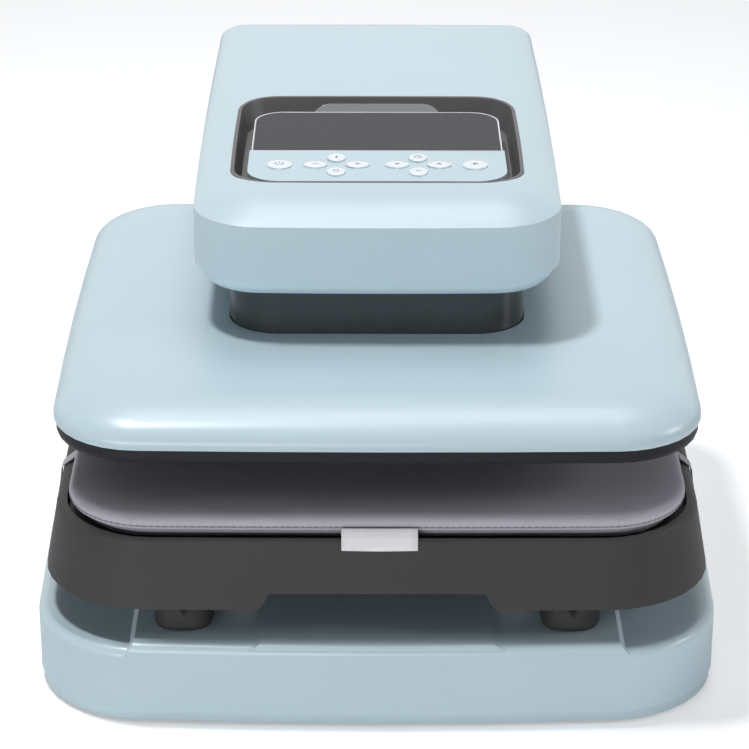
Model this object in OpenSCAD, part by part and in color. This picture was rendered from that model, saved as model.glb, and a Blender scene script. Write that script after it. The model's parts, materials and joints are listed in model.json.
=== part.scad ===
// Heat press with one heated platen over a pull-out padded tray.
// Millimetres, +Z up, front towards -Y, origin under the middle of the base.

/* [Base] */
// Width of the base across its middle
base_w = 460; // [450:1:480]
// Depth of the base, front to back
base_d = 608; // [600:1:640]
// Height of the base shell from its lower edge to the plateau
base_h = 55.5; // [48:0.5:62]
// Corner radius of the base
base_corner_r = 76; // [60:1:84]
// Radius of the rounded top edge of the base
base_edge_r = 6; // [4:0.5:8]
// Wall of the base shell
base_wall = 3; // [2.5:0.1:4]
// How far the lower edge of the base is drawn in
base_lip = 1.4; // [1:0.1:3]
// How far the base top drops beside the plateau
side_drop = 4; // [2:0.5:5]
// Width of the plateau
plateau_w = 314; // [304:1:330]
// Extra rise of the plateau's middle
mid_rise = 1; // [0.6:0.1:1.5]
// Width of the raised middle
mid_w = 150; // [130:1:156]
// Height of the rubber feet
foot_h = 2; // [1.5:0.5:6]
// Radius of the rubber feet
foot_r = 13; // [9:0.5:16]
// Thickness of the steel base plate
plate_t = 3; // [2:0.5:4]
// Height of the bow of each side of the base
base_bow = 4.5; // [3:0.5:6]

/* [Tray] */
// Width of the tray at its lower edge
tray_w = 441; // [438:1:446]
// Height of the tray
tray_h = 49; // [46:0.5:56]
// Gap between the plateau and the tray
tray_gap = 20.5; // [19:0.5:26]
// Distance of the tray's front behind the base's front
tray_setback = 14.5; // [10:0.5:20]
// Gap between the tray's back and the column
column_gap = 31.5; // [26:0.5:40]
// How much the tray narrows on each side towards its top
tray_draft = 9; // [7:0.5:10]
// Corner radius of the tray
tray_corner_r = 72; // [66:1:76]
// Radius of the tray's top edge
tray_edge_r = 7; // [6:0.5:8]
// Bow of the tray's sides
tray_bow = 1; // [0.6:0.2:2]
// Wall of the tray shell
tray_wall = 3; // [2.5:0.1:3.5]
// Width of the recess for the pad
recess_w = 410; // [409:0.5:416]
// Depth of the recess for the pad
recess_depth = 8; // [6:0.5:10]
// Width of the pad
pad_w = 408; // [405:0.5:408.5]
// Distance of the pad's front behind the tray's front
pad_margin = 11; // [10.5:0.5:13]
// Corner radius of the pad
pad_corner_r = 56; // [50:1:60]
// Height of the pad at its crown
pad_h = 24; // [21:0.5:27]
// Width of the finger notch at the tray's lower edge
pull_w = 155; // [130:1:165]
// Height of the finger notch
pull_h = 11; // [9:0.5:14]
// How far the tray pulls out
tray_travel = 240; // [180:1:260]
// Distance of the glide feet from the middle
glide_x = 126; // [124:0.5:130]
// Radius of the glide feet
glide_r = 19.5; // [17:0.5:20]

/* [Platen] */
// Width of the platen across its middle
platen_w = 424; // [414:1:430]
// Corner radius of the platen
platen_corner_r = 59; // [54:1:64]
// Bow of the platen's sides
platen_bow = 1.9; // [1:0.1:3]
// Distance of the platen's front behind the tray's front
platen_margin = 5.5; // [4:0.5:8]
// Gap between the pad and the heat plate when open
press_gap = 34.3; // [28:0.1:35]
// Height of the black rim
rim_h = 9.6; // [8:0.2:12]
// Height of the platen cover
cover_h = 22.5; // [21:0.5:26]
// Rise of the rounded edge of the cover
cover_rise = 18.5; // [16:0.5:19]
// Run of the rounded edge in from the cover's side
cover_run = 44; // [40:1:46]
// Wall of the platen cover
cover_wall = 2.5; // [2:0.1:3]
// Width of the heat plate
heat_w = 381; // [370:1:384]
// Thickness of the heat plate
heat_t = 12; // [11:0.5:13]
// Thickness of the insulation board
insulation_t = 4; // [3:0.5:5]
// Thickness of the carriage plate
carriage_t = 6; // [5:0.5:6.5]
// Width of the sleeve
sleeve_w = 200; // [196:1:204]
// Depth of the sleeve
sleeve_d = 140; // [136:1:146]
// Corner radius of the sleeve
sleeve_r = 34; // [28:1:38]
// Wall of the sleeve
sleeve_wall = 2.5; // [2:0.1:3]

/* [Head] */
// Width of the head
head_w = 250; // [244:1:260]
// Distance of the head's front behind the base's front
head_setback = 146; // [140:1:149]
// Distance of the head's back in front of the base's back
head_back = 10; // [3:0.5:14]
// Corner radius of the head
head_corner_r = 46; // [44:1:50]
// Corner radius of the head at its back
head_back_r = 18; // [14:1:30]
// Bow of the head's sides
head_bow = 1.4; // [1:0.2:3]
// Visible height of the sleeve between cover and head
neck_h = 31; // [30:0.5:38]
// Height of the head's lower lip
lip_h = 11.3; // [10:0.1:13]
// Step from the upper shell in to the lower lip
lip_step = 1.8; // [0.8:0.2:2.4]
// How far the lower lip is drawn in
lip_in = 10; // [8:0.5:12]
// Height of the head's upright wall
head_side_h = 39; // [33:0.5:40]
// Rise of the head's crowned top
head_crown = 12; // [11:0.5:16]
// Run of the crown in from the sides
crown_run = 40; // [32:1:42]
// How much longer the crown's run is in front, and shorter at the back
crown_lean = 5; // [0:1:10]
// Wall of the head shells
head_wall = 3; // [2.5:0.1:3.5]
// Width of the handle well
well_w = 202; // [198:1:204]
// Depth of the handle well, front to back
well_d = 190; // [186:1:192]
// Distance of the well's front behind the head's front
well_setback = 55; // [54:0.5:63]
// Corner radius of the well
well_r = 30; // [28:1:40]
// Depth of the well below the head's top
well_depth = 18.5; // [17:0.5:19]
// How much the well narrows towards its floor
well_draft = 4; // [3:0.5:5]
// Wall of the well
well_wall = 2.5; // [2:0.1:3]
// Width of the finger scoop in the well
grip_w = 92; // [70:1:96]
// Run of the scoop's round upper corners
grip_r = 13; // [8:1:16]
// Height of the finger scoop
grip_h = 14; // [12:0.5:14.5]
// Width of the column
column_w = 232; // [220:1:236]
// Depth of the column
column_d = 116; // [112:1:118]

/* [Controls] */
// Width of the control panel
panel_w = 177; // [174:1:178]
// Depth of the control panel
panel_d = 150; // [149:0.5:152]
// Corner radius of the control panel
panel_r = 22; // [18:1:28]
// Height of the control panel's skirt
panel_h = 8; // [7.5:0.5:9]
// Depth of the display window, front to back
window_d = 84; // [78:1:85]
// Distance of the single buttons from the middle
single_x = 67; // [66:0.5:67.5]
// Distance of the button clusters from the middle
cluster_x = 28; // [27:0.5:28.5]
// Distance of a cluster's buttons from its centre
petal_x = 14.4; // [14.2:0.1:14.8]
// Radius of the single buttons
single_r = 8.6; // [8:0.1:8.8]
// Length of a cluster button
petal_l = 17; // [15:0.1:17.4]
// Width of a cluster button
petal_w = 12.6; // [10.6:0.1:12.8]
// How far the buttons stand above the panel
button_proud = 1.4; // [1.1:0.1:1.8]
// Travel of the buttons
button_travel = 1; // [0.7:0.1:1]

/* [Drive] */
// Radius of the lead screw
screw_r = 8; // [7:0.1:8.5]
// Radius of the guide rods
rod_r = 6; // [5:0.1:6.5]
// Distance of the guide rods from the middle, sideways
rod_x = 78; // [76:0.5:79]
// Distance of the guide rods from the middle, front to back
rod_y = 46; // [44:0.5:47]
// Height of the box arm
arm_h = 26; // [25:0.5:27]
// Width of the box arm
arm_w = 120; // [116:1:124]
// Wall of the box arm
arm_t = 4; // [3:0.5:4]
// Thickness of the guide plate
guide_t = 8; // [7:0.5:9]
// Pitch radius of the screw pulley
big_r = 24; // [20:0.5:26]
// Pitch radius of the motor pulley
small_r = 12; // [10:0.5:14]
// Radius of the motor
motor_r = 27; // [22:0.5:29]

/* [Hidden] */
$fn = 96;
// Running clearance of shafts and of the buttons
run = 0.05;
part_gap = 0.3;
slide_gap = 0.6;
// Levels from the ground up
z_base = foot_h;
z_plateau = z_base + base_h;
z_tray = z_plateau + tray_gap;
z_tray_top = z_tray + tray_h;
z_recess = z_tray_top - recess_depth;
z_deck = z_recess - tray_wall;
z_pad_top = z_recess + pad_h;
z_heat = z_pad_top + press_gap;
z_rim = z_heat + 0.4;
z_cover = z_rim + rim_h;
z_cover_top = z_cover + cover_h;
z_insulation = z_heat + heat_t;
z_carriage = z_insulation + insulation_t;
z_carriage_top = z_carriage + carriage_t;
z_lip = z_cover_top + neck_h;
z_split = z_lip + lip_h;
z_crease = z_split + head_side_h;
z_head_top = z_crease + head_crown;
z_well = z_head_top - well_depth;
z_panel = z_head_top - panel_h;
press_travel = press_gap - part_gap;
// Drive levels, from the lower shell's floor up
z_arm = z_lip + head_wall + 0.5;
z_arm_top = z_arm + arm_h;
z_guide = z_arm - guide_t;
z_pulley = z_arm_top + part_gap;
pulley_h = z_well - well_wall - z_pulley - 1;
z_bearing = z_arm + 10.5;
z_nut_top = z_bearing - 1;
nut_h = 18;
z_screw_end = z_carriage_top + 2.5;
z_sleeve_top = z_well - well_wall - 0.7;
// Front to back: the tray fills the room before the column, and the platen, pad and plate keep its margins
head_y0 = -base_d / 2 + head_setback;
head_y1 = base_d / 2 - head_back;
column_y1 = head_y1 - 1;
column_y0 = column_y1 - column_d;
tray_d = column_y0 - column_gap + base_d / 2 - tray_setback;
tray_lean = tray_draft * (tray_h - tray_edge_r) / tray_h;
pad_d = tray_d - 2 * pad_margin;
recess_d = pad_d + recess_w - pad_w;
platen_d = tray_d - 2 * platen_margin;
heat_d = platen_d + heat_w - platen_w;
platen_y = -base_d / 2 + tray_setback + tray_d / 2;
head_d = head_y1 - head_y0;
head_y = (head_y0 + head_y1) / 2;
well_y = head_y0 + well_setback + well_d / 2;
well_bow = 0.5;
panel_gap = 0.9;
panel_step = 1.3;
window_in = 2.3;
panel_y = head_y0 + well_setback + well_wall + panel_gap + panel_d / 2;
button_y = panel_y - panel_d / 2 + (panel_d - window_d) / 2 - 1;
column_y = (column_y0 + column_y1) / 2;
motor_y = column_y;
base_in = base_wall + base_lip;
glide_y = tray_d / 2 - 7 - glide_r;
pedestal_in = 3.5;
strap_y = tray_d / 2 - 123;
label_w = 49;
label_x = 1.5;
rail_x = mid_w / 2 + 17;
rail_w = 22;
rail_h = tray_gap - 3.5;
rail_l = tray_d - 136;
rail_y0 = platen_y - tray_d / 2 + 58;
carriage_w = heat_w - 121;
carriage_d = heat_d - 81;
sensor_x = carriage_w / 2 + 10;
element_pitch = (heat_w - 101) / 5;
element_l = heat_d - 130;

blue = [0.80, 0.88, 0.93];
dark = [0.22, 0.22, 0.23];
steel = [0.62, 0.64, 0.66];

// Radius of an arc with this chord and height
function arc_r(chord, rise) = chord * chord / (8 * rise) + rise / 2;

// Insets and heights of a quarter ellipse from its outer foot up to its top
function roll_off(inset, z0, run_x, rise, steps) =
    [for (i = [0 : steps]) [inset + run_x * (1 - cos(90 * i / steps)), z0 + rise * sin(90 * i / steps)]];

// Insets and heights of a quarter ellipse from its drawn-in foot up to its outer end
function roll_under(inset, z1, run_x, rise, steps) =
    [for (i = [0 : steps]) [inset + run_x * (1 - sin(90 * i / steps)), z1 - rise * cos(90 * i / steps)]];

// Ring of points round a rectangle with bowed sides and round corners, drawn in by inset, at height z
function bowed_ring(w, d, r, s, inset, z) = let (
    tight = max(0, inset - r + 2),
    ra = arc_r(d - 2 * r, s),
    rb = arc_r(w - 2 * r, s),
    a = w / 2 - ra,
    b = d / 2 - rb,
    gap = sqrt(a * a + b * b),
    t = ((ra - r) * (ra - r) - (rb - r) * (rb - r) + gap * gap) / (2 * gap),
    h = sqrt((ra - r) * (ra - r) - t * t),
    cx = a - t * a / gap + h * abs(b) / gap - tight,
    cy = t * b / gap + h * abs(a) / gap - tight,
    side = atan2(cy, cx - a),
    face = atan2(cy - b, cx),
    rc = max(r - inset, 2),
    half = concat(ring_arc(a, 0, ra - inset, -side, side, 4), ring_arc(cx, cy, rc, side, face, 8),
        ring_arc(0, b, rb - inset, face, 180 - face, 4),
        ring_arc(-cx, cy, rc, 180 - face, 180 - side, 8)))
    concat([for (q = half) [q[0], q[1], z]], [for (q = half) [-q[0], -q[1], z]]);

// The same ring with corners r in front and back_r at the back
function two_ring(w, d, r, back_r, s, inset, z) = let (
    front = bowed_ring(w, d, r, s, inset, z),
    back = bowed_ring(w, d, back_r, s, inset, z))
    [for (i = [0 : len(front) - 1]) front[i][1] < 0 ? front[i] : back[i]];

function ring_arc(x, y, r, from, to, steps) =
    [for (i = [0 : steps - 1]) let (t = from + (to - from) * i / steps) [x + r * cos(t), y + r * sin(t)]];

// Solid through the rings of a section given as [inset, height, shift back] from the bottom up
module bowed_loft(w, d, r, s, section, back_r = 0) {
    rings = [for (q = section) let (back = len(q) > 2 ? q[2] : 0)
        [for (v = two_ring(w, d, r, back_r > 0 ? back_r : r, s, q[0], q[1])) v + [0, back, 0]]];
    n = len(rings[0]);
    m = len(rings);
    walls = [for (k = [0 : m - 2], i = [0 : n - 1])
        [k * n + i, (k + 1) * n + i, (k + 1) * n + (i + 1) % n, k * n + (i + 1) % n]];
    bottom = [for (i = [0 : n - 1]) i];
    top = [for (i = [n - 1 : -1 : 0]) (m - 1) * n + i];
    polyhedron([for (ring = rings) each ring], concat(walls, [bottom, top]), convexity = 8);
}

// Plain block with round corners from z0 to z1
module round_block(w, d, r, z0, z1) {
    translate([0, 0, z0]) linear_extrude(z1 - z0) round_rect(w, d, r);
}

module round_rect(w, d, r) {
    square([w - 2 * r, d], center = true);
    square([w, d - 2 * r], center = true);
    for (x = [-1, 1], y = [-1, 1]) translate([x * (w / 2 - r), y * (d / 2 - r)]) circle(r);
}

module box(x0, x1, y0, y1, z0, z1) {
    translate([x0, y0, z0]) cube([x1 - x0, y1 - y0, z1 - z0]);
}

module rod(x, y, r, z0, z1) {
    translate([x, y, z0]) cylinder(r = r, h = z1 - z0);
}

module four(x, y) {
    for (i = [-1, 1], j = [-1, 1]) translate([i * x, j * y, 0]) children();
}

// Base

module base_solid(top) {
    bowed_loft(base_w, base_d, base_corner_r, base_bow, concat([[base_lip, z_base], [base_lip, z_base + 4],
        [0.6, z_base + 6], [0, z_base + 8]], roll_off(0, top - base_edge_r, base_edge_r, base_edge_r, 5)));
}

// Ridge along Y whose sides slope outwards to the level z0
module ridge(w, z0, z1, slope) {
    rotate([90, 0, 0]) linear_extrude(base_d + 2, center = true)
        polygon([[-w / 2 - slope, z0], [w / 2 + slope, z0], [w / 2, z1], [-w / 2, z1]]);
}

module base_shell() color(blue) {
    low = z_plateau - side_drop;
    difference() {
        union() {
            base_solid(low);
            intersection() {
                base_solid(z_plateau);
                ridge(plateau_w, low - base_edge_r - 2, z_plateau + 0.01, side_drop + 6);
            }
            intersection() {
                base_solid(z_plateau + mid_rise);
                ridge(mid_w, z_plateau - 2, z_plateau + mid_rise + 0.01, 8);
            }
        }
        bowed_loft(base_w, base_d, base_corner_r, base_bow,
            [[base_in, z_base - 1], [base_in, low - base_wall]]);
        box(-arm_w / 2 - 8, arm_w / 2 + 8, column_y0 + 6, column_y1 - 6, low - base_wall - 1, z_plateau + 9);
        for (x = [-1, 1]) translate([x * glide_x, 0, 0])
            box(-21, 21, -base_d / 2 + 24, column_y0 - 4, low - base_wall - 1, z_plateau - base_wall);
    }
}

module base_plate() color(steel)
    bowed_loft(base_w, base_d, base_corner_r, base_bow,
        [[base_in + part_gap, z_base], [base_in + part_gap, z_base + plate_t]]);

module rubber_feet() color(dark)
    for (x = [-1, 1], y = [-1, 0, 1]) rod(x * (base_w / 2 - 50), y * (base_d / 2 - 50), foot_r, 0, foot_h);

module tube(w, h, l, t) {
    difference() {
        translate([-w / 2, 0, 0]) cube([w, l, h]);
        translate([-w / 2 + t, -1, t]) cube([w - 2 * t, l + 2, h - 2 * t]);
    }
}

module base_frame() color(steel) {
    z0 = z_base + plate_t;
    h = z_plateau - base_wall - z0;
    y0 = -base_d / 2 + 26;
    l = column_y0 - 6 - y0;
    for (x = [-1, 1]) translate([x * glide_x, y0, z0]) tube(40, h, l, 3);
    for (y = [platen_y - 40, column_y0 - 46]) translate([-glide_x + 20, y, z0])
        rotate([0, 0, -90]) tube(36, h - side_drop - 1, 2 * glide_x - 40, 3);
}

module column_frame() color(steel) {
    z0 = z_base + plate_t;
    x0 = arm_w / 2;
    for (x = [0, 1]) mirror([x, 0, 0]) {
        box(x0, x0 + 6, column_y0 + 10, column_y1 - 10, z0, z_arm_top);
        box(x0 + 6, x0 + 36, column_y0 + 10, column_y1 - 10, z0, z0 + 6);
    }
    box(-x0, x0, column_y1 - 16, column_y1 - 10, z_plateau + 60, z_arm - 1);
}

module column_skin(z0, z1, inset) {
    translate([0, column_y, 0])
        round_block(column_w - 2 * inset, column_d - 2 * inset, 34 - inset, z0, z1);
}

module column_front() color(blue)
    intersection() {
        difference() {
            column_skin(z_plateau + mid_rise, z_lip, 0);
            column_skin(z_plateau, z_lip + 1, 3);
        }
        box(-column_w, column_w, column_y0 - 1, column_y, z_plateau, z_lip);
    }

module column_rear() color(blue)
    difference() {
        column_skin(z_plateau + mid_rise, z_lip, 0);
        column_skin(z_plateau, z_lip + 1, 3);
        box(-column_w, column_w, column_y0 - 1, column_y, z_plateau, z_lip + 1);
        box(-14.2, 14.2, column_y1 - 5, column_y1 + 1, z_plateau + 17.8, z_plateau + 38.2);
        for (x = [-2.5 : 2.5], k = [0 : 4])
            translate([x * 24, column_y1, z_plateau + 92 + k * 9]) box(-9, 9, -5, 1, 0, 3.8);
    }

module power_inlet() color(dark) {
    z0 = z_plateau + 18;
    difference() {
        union() {
            box(-14, 14, column_y1 - 24, column_y1, z0, z0 + 20);
            translate([0, column_y1, z0 + 10]) rotate([-90, 0, 0]) round_block(48, 24, 4, 0, 2.5);
        }
        box(-12, 12, column_y1 - 15, column_y1 + 4, z0 + 2, z0 + 18);
    }
    for (x = [-7, 0, 7]) box(x - 1, x + 1, column_y1 - 15, column_y1 - 2, z0 + 8, z0 + 12);
}

module case_screws() color(steel) {
    for (x = [-1, 1], z = [z_plateau + 24, z_lip - 24])
        translate([x * 68, column_y1, z]) rotate([-90, 0, 0]) screw_head();
    for (x = [-1, 1], y = [-1, -0.5, 0.5, 1])
        translate([x * glide_x, y * (base_d / 2 - 70), z_base]) rotate([180, 0, 0]) screw_head();
}

module screw_head() {
    difference() {
        cylinder(r = 3.8, h = 2);
        for (a = [0, 90]) rotate([0, 0, a]) translate([-2.4, -0.5, 1]) cube([4.8, 1, 2]);
    }
}

// Head structure and drive

module head_arm() color(steel)
    difference() {
        y0 = platen_y - 40;
        y1 = column_y1 - 10;
        box(-arm_w / 2, arm_w / 2, y0, y1, z_arm, z_arm_top);
        box(-arm_w / 2 + arm_t, arm_w / 2 - arm_t, y0 - 1, y1 + 1, z_arm + arm_t, z_arm_top - arm_t);
        rod(0, platen_y, screw_r + 13, z_arm - 1, z_arm + arm_t + 1);
        rod(0, platen_y, screw_r, z_arm_top - arm_t - 1, z_arm_top + 1);
        rod(0, motor_y, 7, z_arm - 1, z_arm_top + 1);
    }

module guide_plate() color(steel)
    difference() {
        translate([0, platen_y, 0]) round_block(2 * rod_x + 28, 2 * rod_y + 30, 26, z_guide, z_arm);
        rod(0, platen_y, screw_r + 13, z_guide - 1, z_arm + 1);
        translate([0, platen_y, 0]) four(rod_x, rod_y) rod(0, 0, rod_r + 4, z_guide - 1, z_arm + 1);
    }

module guide_bushes() color([0.72, 0.56, 0.30])
    translate([0, platen_y, 0]) four(rod_x, rod_y) difference() {
        union() {
            rod(0, 0, rod_r + 4, z_guide - 26, z_arm);
            rod(0, 0, rod_r + 7, z_arm, z_arm + 3);
        }
        rod(0, 0, rod_r + run, z_guide - 27, z_arm + 4);
    }

module bearing_block() color(steel)
    difference() {
        translate([0, platen_y, 0]) round_block(56, 56, 6, z_bearing, z_arm_top - arm_t);
        rod(0, platen_y, screw_r - 2 + run, z_bearing - 1, z_arm_top);
    }

module drive_motor() color(dark)
    difference() {
        union() {
            rod(0, motor_y, motor_r + 1, z_arm - 24, z_arm);
            rod(0, motor_y, motor_r, z_arm - 92, z_arm - 24);
            rod(0, motor_y, 8, z_arm - 96, z_arm - 92);
        }
        rod(0, motor_y, 4 + run, z_arm - 16, z_arm + 1);
    }

module motor_shaft() color(steel) rod(0, motor_y, 4, z_arm - 15, z_pulley + pulley_h);

module pulley(r, bore) {
    difference() {
        union() {
            rod(0, 0, r, z_pulley, z_pulley + pulley_h);
            rod(0, 0, r + 2, z_pulley, z_pulley + 0.9);
            rod(0, 0, r + 2, z_pulley + pulley_h - 0.9, z_pulley + pulley_h);
        }
        rod(0, 0, bore, z_pulley - 1, z_pulley + pulley_h + 1);
    }
}

module screw_pulley() color(steel) translate([0, platen_y, 0]) pulley(big_r, screw_r - 2 + run);

module motor_pulley() color(steel) translate([0, motor_y, 0]) pulley(small_r, 4 + run);

// Belt loop round both pulleys, with straight runs along the common tangents
module belt_area(extra) {
    l = motor_y - platen_y;
    lean = asin((big_r - small_r) / l);
    r0 = big_r + extra;
    r1 = small_r + extra;
    translate([0, platen_y]) circle(r0);
    translate([0, motor_y]) circle(r1);
    polygon([[r0 * cos(lean), platen_y + r0 * sin(lean)], [r1 * cos(lean), motor_y + r1 * sin(lean)],
        [-r1 * cos(lean), motor_y + r1 * sin(lean)], [-r0 * cos(lean), platen_y + r0 * sin(lean)]]);
}

module drive_belt() color([0.08, 0.08, 0.08])
    translate([0, 0, z_pulley + 1.2]) linear_extrude(pulley_h - 2.4) difference() {
        belt_area(part_gap + 1.5);
        belt_area(part_gap);
    }

module lead_screw() color(steel) {
    rod(0, platen_y, screw_r, z_screw_end, z_bearing - part_gap);
    rod(0, platen_y, screw_r - 2, z_bearing - part_gap, z_pulley + pulley_h);
}

module power_board() color([0.12, 0.32, 0.18]) {
    z0 = z_lip + head_wall;
    x0 = -head_w / 2 + 16;
    y0 = platen_y + 110;
    for (y = [y0 + 6, y0 + 94]) rod(x0 + 20, y, 4, z0, z0 + 4);
    box(x0, x0 + 40, y0, y0 + 100, z0 + 4, z0 + 5.6);
    box(x0 + 4, x0 + 32, y0 + 8, y0 + 36, z0 + 5.6, z0 + 24);
    rod(x0 + 12, y0 + 50, 8, z0 + 5.6, z0 + 26);
    rod(x0 + 30, y0 + 50, 6, z0 + 5.6, z0 + 22);
    box(x0 + 6, x0 + 34, y0 + 64, y0 + 70, z0 + 5.6, z0 + 22);
    box(x0 + 8, x0 + 24, y0 + 78, y0 + 92, z0 + 5.6, z0 + 18);
}

// Head shells

module head_solid(inset, low) {
    crown = [for (q = roll_off(inset, z_crease - inset, crown_run - inset, head_crown, 8))
        [q[0], q[1], crown_lean * (q[0] - inset) / (crown_run - inset)]];
    translate([0, head_y, 0])
        bowed_loft(head_w, head_d, head_corner_r, head_bow, concat([[inset, low]], crown), head_back_r);
}

module well_solid(inset, floor_z) {
    drawn = well_draft * (z_head_top - floor_z) / well_depth;
    translate([0, well_y, 0]) bowed_loft(well_w, well_d, well_r, well_bow,
        [[inset + drawn, floor_z, -drawn], [inset, z_head_top], [inset, z_head_top + 1]]);
}

module head_upper() color(blue)
    difference() {
        head_solid(0, z_split);
        head_solid(head_wall, z_split - 1);
        well_solid(-0.15, z_well - well_wall);
    }

module sleeve_hole(gap, z0, z1) {
    translate([0, platen_y, 0])
        round_block(sleeve_w + 2 * gap, sleeve_d + 2 * gap, sleeve_r + gap, z0, z1);
}

module head_lower() color(blue)
    difference() {
        translate([0, head_y, 0]) bowed_loft(head_w, head_d, head_corner_r, head_bow,
            concat(roll_under(lip_step, z_split - 1, lip_in, lip_h - 1, 5), [[lip_step, z_split]]), head_back_r);
        translate([0, head_y, 0]) bowed_loft(head_w, head_d, head_corner_r, head_bow,
            concat(roll_under(lip_step + head_wall, z_split, lip_in, lip_h - head_wall, 3),
                [[lip_step + head_wall, z_split + 1]]), head_back_r);
        sleeve_hole(slide_gap, z_lip - 1, z_split);
        box(-arm_w / 2 - 10, arm_w / 2 + 10, column_y0 + 8, column_y1 - 8, z_lip - 1, z_split);
    }

module handle_well() color(dark)
    difference() {
        union() {
            difference() {
                intersection() {
                    well_solid(0, z_well - well_wall);
                    head_solid(0, z_split);
                }
                well_solid(well_wall, z_well);
            }
            pedestal(0, z_well - 0.5, z_panel);
        }
        pedestal(well_wall, z_well - well_wall - 1, z_panel + 1);
        grip_space(0.1);
    }

module pedestal(inset, z0, z1) {
    c = 2 * (pedestal_in + inset);
    difference() {
        translate([0, panel_y, 0]) round_block(panel_w - c, panel_d - c, panel_r - c / 2, z0, z1);
        if (inset > 0) translate([0, panel_y, 0]) four((panel_w - c) / 2 - 7, (panel_d - c) / 2 - 7)
            box(-8, 8, -8, 8, z_well - well_wall - 1, z_well + 3);
    }
}

// Space of the finger scoop in the well's rear wall
module grip_space(gap) {
    y1 = well_y + well_d / 2;
    w = grip_w / 2 + gap;
    h = grip_h + 2 * gap;
    translate([0, y1 - 9, z_well - gap]) rotate([90, 0, 180]) linear_extrude(9.5 + gap)
        polygon(concat([[-w + 6, 0], [w - 6, 0]],
            [for (t = [0 : 18 : 90]) [w - grip_r + grip_r * cos(t), h - 8 + 8 * sin(t)]],
            [for (t = [90 : 18 : 180]) [-w + grip_r + grip_r * cos(t), h - 8 + 8 * sin(t)]]));
}

// Plate that fills the scoop's opening, level with the sloping wall
module grip_insert() color([0.62, 0.63, 0.65])
    intersection() {
        grip_space(0);
        difference() {
            well_solid(0, z_well - well_wall);
            well_solid(well_wall, z_well - well_wall - 1);
        }
    }

// Panel outline, a little narrower beside the display than at the buttons
module panel_block(z0, z1) {
    c = 2 * panel_step;
    translate([0, panel_y, 0]) {
        round_block(panel_w - c, panel_d - c, panel_r - panel_step, z0, z1);
        intersection() {
            round_block(panel_w, panel_d, panel_r, z0, z1);
            box(-panel_w, panel_w, -panel_d, panel_d / 2 - window_in - window_d, z0, z1);
        }
    }
}

module control_panel() color(blue)
    difference() {
        panel_block(z_panel, z_head_top);
        translate([0, panel_y, 0])
            round_block(panel_w - 10, panel_d - 10, panel_r - 5, z_panel - 1, z_head_top - 3);
        window_area(z_head_top - 2, z_head_top + 1, 0);
        window_area(z_head_top - 4, z_head_top + 1, 12);
        for (b = BUTTONS) button_area(b, part_gap, z_head_top - 4, z_head_top + 1);
    }

module window_area(z0, z1, inset) {
    c = window_in + inset;
    y1 = panel_y + panel_d / 2 - window_in;
    intersection() {
        translate([0, panel_y, 0]) round_block(panel_w - 2 * c, panel_d - 2 * c, panel_r - c, z0, z1);
        box(-panel_w, panel_w, y1 - window_d + inset, y1 - inset, z0, z1);
    }
}

module display_window() color([0.38, 0.38, 0.40])
    window_area(z_head_top - 2, z_head_top - 0.1, 0.15);

module display_module() color([0.18, 0.20, 0.22])
    translate([0, panel_y + panel_d / 2 - 4 - window_d / 2, 0]) {
        round_block(136, 52, 3, z_head_top - 5.5, z_head_top - 3.2);
        round_block(144, 56, 3, z_head_top - 8, z_head_top - 5.5);
        for (x = [-1, 1]) box(x * 75 - 4, x * 75 + 4, -10, 10, z_head_top - 8, z_head_top - 3);
    }

module control_board() color([0.12, 0.32, 0.18]) {
    z0 = z_well + 3;
    c = 2 * (pedestal_in + well_wall + 0.5);
    translate([0, panel_y, 0]) round_block(panel_w - c, panel_d - c, panel_r - c / 2, z0, z0 + 1.6);
    for (b = BUTTONS) translate([b[0], button_y + b[1], 0]) {
        box(-3, 3, -3, 3, z0 + 1.6, z0 + 4);
        rod(0, 0, 1.7, z0 + 4, z0 + 4.6);
    }
    box(-30, 30, panel_y + 20, panel_y + 26, z0 + 1.6, z0 + 6);
}

// Buttons: place from the middle of the row, turn, and whether long

BUTTONS = [[-single_x, 0, 0, false],
    [-cluster_x - petal_x, 0, 0, true], [-cluster_x, petal_x, 90, true],
    [-cluster_x + petal_x, 0, 0, true], [-cluster_x, -petal_x, 90, true],
    [cluster_x - petal_x, 0, 0, true], [cluster_x, petal_x, 90, true],
    [cluster_x + petal_x, 0, 0, true], [cluster_x, -petal_x, 90, true],
    [single_x, 0, 0, false]];

module button_area(b, extra, z0, z1) {
    translate([b[0], button_y + b[1], z0]) rotate([0, 0, b[2]]) linear_extrude(z1 - z0)
        if (b[3]) petal(extra);
        else circle(single_r + extra);
}

// Lens with pointed ends trimmed round
module petal(extra) {
    r = arc_r(petal_l, petal_w / 2) + extra;
    off = arc_r(petal_l, petal_w / 2) - petal_w / 2;
    intersection() {
        translate([0, off]) circle(r);
        translate([0, -off]) circle(r);
        square([petal_l - 1 + 2 * extra, petal_w + 2 * extra], center = true);
    }
}

module button(i) color([0.93, 0.95, 0.97]) {
    b = BUTTONS[i];
    reach = b[3] ? petal_w / 2 + 2.2 : single_r + 2;
    top = z_head_top;
    button_area(b, 0, top - 4.2, top + button_proud);
    translate([b[0], button_y + b[1], 0]) {
        rod(0, 0, 2.2, z_well + 3 + 4.6 + button_travel + 0.15, top - 4.2);
        rotate([0, 0, b[2]]) box(-0.9, 0.9, -reach, reach, top - 3.9, top - 3 - part_gap);
        if (!b[3]) box(-reach, reach, -0.9, 0.9, top - 3.9, top - 3 - part_gap);
    }
}

module button_power() button(0);
module button_left_a() button(1);
module button_left_b() button(2);
module button_left_c() button(3);
module button_left_d() button(4);
module button_right_a() button(5);
module button_right_b() button(6);
module button_right_c() button(7);
module button_right_d() button(8);
module button_start() button(9);

// Platen

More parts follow.
